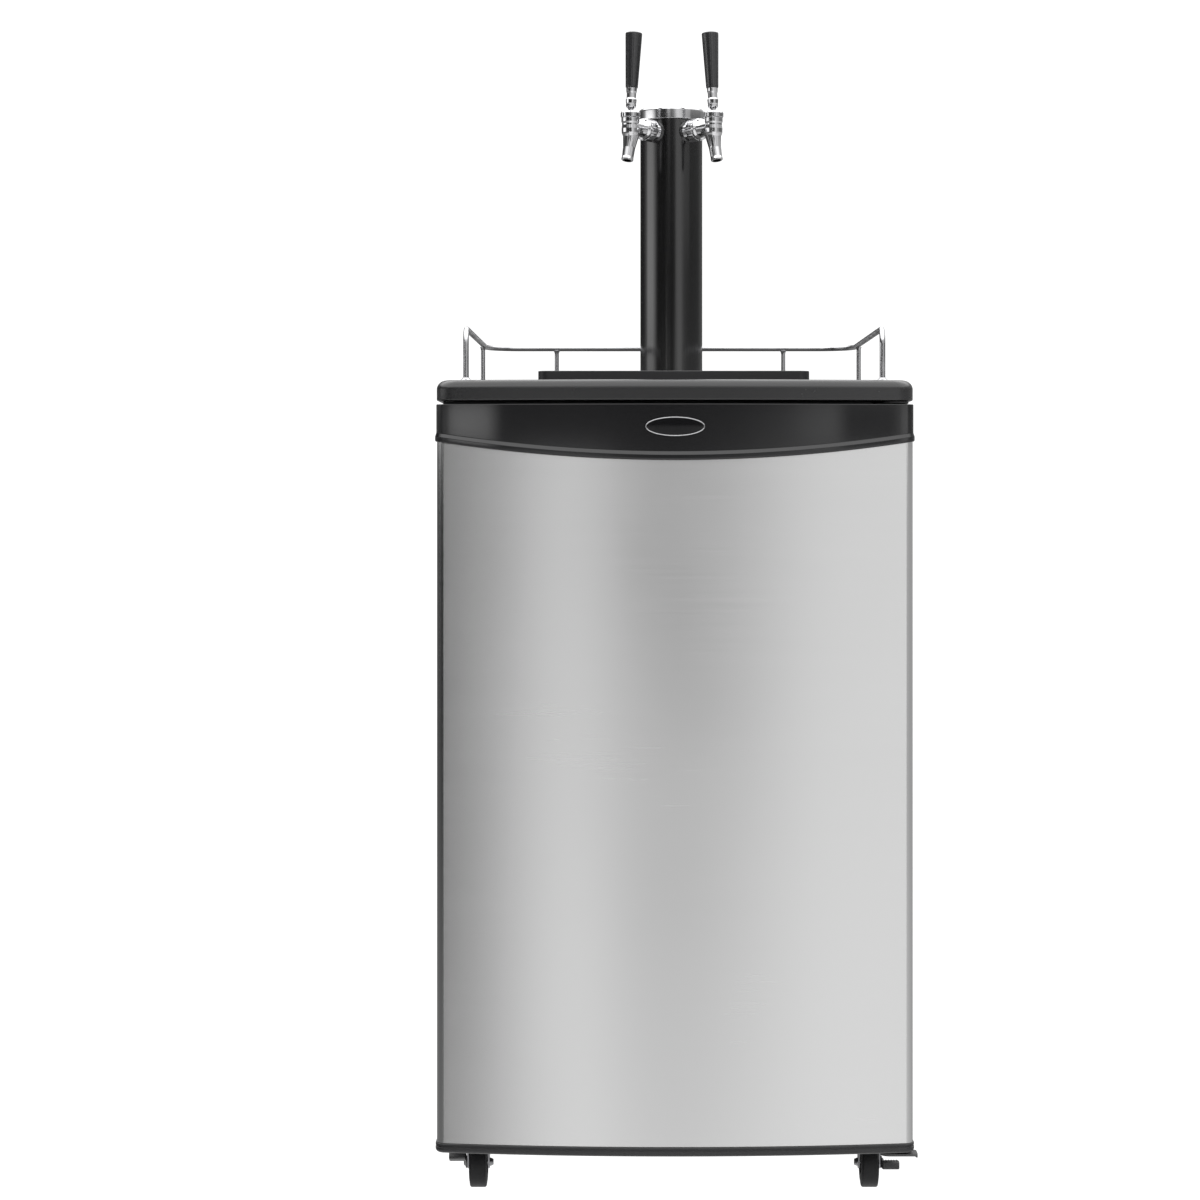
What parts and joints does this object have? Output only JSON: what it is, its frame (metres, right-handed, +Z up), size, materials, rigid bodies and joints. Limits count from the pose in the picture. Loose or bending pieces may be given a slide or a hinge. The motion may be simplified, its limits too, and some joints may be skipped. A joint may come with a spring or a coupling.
{
  "type": "kegerator",
  "caption": "Free-standing keg cooler on casters with a bowed steel door, guard-rail worktop, drip tray and a draught tower with twin taps.",
  "frame": {"origin": "on the floor under the middle of the cooler's footprint", "axes": "+Z up, -Y towards the person who stands in front of the door, +X to that person's right"},
  "size_m": [0.5327, 0.6179, 1.3436],
  "materials": {
    "black_paint": "satin",
    "black_enamel": "gloss",
    "black_gloss": "gloss",
    "black_plastic": "satin",
    "stainless": "satin",
    "chrome": "polished",
    "zinc": "satin",
    "aluminium": "satin",
    "white_plastic": "gloss",
    "foam": "matte",
    "foam_core": "matte",
    "grey_rubber": "matte",
    "black_rubber": "satin",
    "hose": "satin",
    "handle": "satin"
  },
  "bodies": {
    "cabinet": {"base_frame": "black_paint", "cabinet_shell": "black_paint", "rear_panel": "black_paint", "insulation_foam": "foam", "inner_liner": "white_plastic", "keg_floor_plate": "zinc", "evaporator_plate": "aluminium", "thermostat_housing": "white_plastic", "worktop": "black_plastic", "guard_rail": "chrome", "tower_column": "black_enamel", "tower_insulation": "foam", "line_clip": "white_plastic", "hinge_bracket_upper": "black_paint", "hinge_bracket_lower": "black_paint", "compressor": "black_paint", "condenser": "black_paint", "drain_pan": "black_plastic", "mains_inlet": "black_plastic", "faucet_shank_left": "chrome", "shank_collar_left": "chrome", "coupling_nut_left": "chrome", "faucet_body_left": "chrome", "faucet_bonnet_left": "chrome", "beer_line_left": "hose", "faucet_shank_right": "chrome", "shank_collar_right": "chrome", "coupling_nut_right": "chrome", "faucet_body_right": "chrome", "faucet_bonnet_right": "chrome", "beer_line_right": "hose"},
    "door": {"door_core": "foam_core", "door_skin": "stainless", "door_fascia": "black_gloss", "door_bottom_trim": "black_plastic", "blank_plate": "chrome", "door_liner": "white_plastic", "door_gasket": "grey_rubber"},
    "knob": {"thermostat_knob": "black_plastic"},
    "tray": {"drip_tray": "black_plastic"},
    "grate": {"drip_grate": "black_plastic"},
    "cap": {"tower_cap": "chrome"},
    "lever_left": {"tap_lever_left": "chrome", "handle_ferrule_left": "chrome", "tap_handle_left": "handle"},
    "plunger_left": {"tap_plunger_left": "zinc"},
    "swivel_front_left": {"caster_fork_front_left": "zinc"},
    "wheel_front_left": {"caster_wheel_front_left": "black_rubber"},
    "swivel_rear_left": {"caster_fork_rear_left": "zinc"},
    "wheel_rear_left": {"caster_wheel_rear_left": "black_rubber"},
    "brake_left": {"brake_lever_left": "black_plastic"},
    "lever_right": {"tap_lever_right": "chrome", "handle_ferrule_right": "chrome", "tap_handle_right": "handle"},
    "plunger_right": {"tap_plunger_right": "zinc"},
    "swivel_front_right": {"caster_fork_front_right": "zinc"},
    "wheel_front_right": {"caster_wheel_front_right": "black_rubber"},
    "swivel_rear_right": {"caster_fork_rear_right": "zinc"},
    "wheel_rear_right": {"caster_wheel_rear_right": "black_rubber"},
    "brake_right": {"brake_lever_right": "black_plastic"}
  },
  "joints": [
    {"name": "door_hinge", "type": "hinge", "parent": "cabinet", "child": "door", "pos_m": [0.245, -0.268, 0.063], "axis": [0, 0, 1], "range_deg": [0, 105]},
    {"name": "thermostat_turn", "type": "hinge", "parent": "cabinet", "child": "knob", "pos_m": [0.1877, 0.1, 0.798], "axis": [-1, 0, 0], "range_deg": [0, 300]},
    {"name": "tray_lift", "type": "slide", "parent": "cabinet", "child": "tray", "axis": [0, 0, 1], "range_m": [0, 0.05]},
    {"name": "grate_lift", "type": "slide", "parent": "tray", "child": "grate", "axis": [0, 0, 1], "range_m": [0, 0.04]},
    {"name": "cap_lift", "type": "slide", "parent": "cabinet", "child": "cap", "axis": [0, 0, 1], "range_m": [0, 0.06]},
    {"name": "tap_lever_left_pull", "type": "hinge", "parent": "cabinet", "child": "lever_left", "pos_m": [-0.04984, -0.00752, 1.24], "axis": [0.8241, -0.5664, 0], "range_deg": [0, 30]},
    {"name": "tap_valve_left_slide", "type": "slide", "parent": "cabinet", "child": "plunger_left", "axis": [0.5664, 0.8241, 0], "range_m": [0, 0.0058]},
    {"name": "tap_lever_right_pull", "type": "hinge", "parent": "cabinet", "child": "lever_right", "pos_m": [0.04984, -0.00752, 1.24], "axis": [0.8241, 0.5664, 0], "range_deg": [0, 30]},
    {"name": "tap_valve_right_slide", "type": "slide", "parent": "cabinet", "child": "plunger_right", "axis": [-0.5664, 0.8241, 0], "range_m": [0, 0.0058]},
    {"name": "caster_front_left_swivel", "type": "hinge", "parent": "cabinet", "child": "swivel_front_left", "pos_m": [-0.222, -0.198, 0], "axis": [0, 0, 1], "continuous": true},
    {"name": "caster_front_left_roll", "type": "hinge", "parent": "swivel_front_left", "child": "wheel_front_left", "pos_m": [-0.222, -0.183, 0.028], "axis": [1, 0, 0], "continuous": true},
    {"name": "caster_front_right_swivel", "type": "hinge", "parent": "cabinet", "child": "swivel_front_right", "pos_m": [0.222, -0.198, 0], "axis": [0, 0, 1], "continuous": true},
    {"name": "caster_front_right_roll", "type": "hinge", "parent": "swivel_front_right", "child": "wheel_front_right", "pos_m": [0.222, -0.183, 0.028], "axis": [1, 0, 0], "continuous": true},
    {"name": "caster_rear_left_swivel", "type": "hinge", "parent": "cabinet", "child": "swivel_rear_left", "pos_m": [-0.222, 0.248, 0], "axis": [0, 0, 1], "continuous": true},
    {"name": "caster_rear_left_roll", "type": "hinge", "parent": "swivel_rear_left", "child": "wheel_rear_left", "pos_m": [-0.222, 0.263, 0.028], "axis": [1, 0, 0], "continuous": true},
    {"name": "caster_rear_right_swivel", "type": "hinge", "parent": "cabinet", "child": "swivel_rear_right", "pos_m": [0.222, 0.248, 0], "axis": [0, 0, 1], "continuous": true},
    {"name": "caster_rear_right_roll", "type": "hinge", "parent": "swivel_rear_right", "child": "wheel_rear_right", "pos_m": [0.222, 0.263, 0.028], "axis": [1, 0, 0], "continuous": true},
    {"name": "brake_left_press", "type": "hinge", "parent": "swivel_front_left", "child": "brake_left", "pos_m": [-0.222, -0.183, 0.028], "axis": [1, 0, 0], "range_deg": [0, 22.4]},
    {"name": "brake_right_press", "type": "hinge", "parent": "swivel_front_right", "child": "brake_right", "pos_m": [0.222, -0.183, 0.028], "axis": [1, 0, 0], "range_deg": [-22.4, 0]}
  ],
  "couplings": [
    {"joint": "tap_valve_left_slide", "follows": "tap_lever_left_pull", "m_per_rad": 0.011},
    {"joint": "tap_valve_right_slide", "follows": "tap_lever_right_pull", "m_per_rad": 0.011}
  ]
}
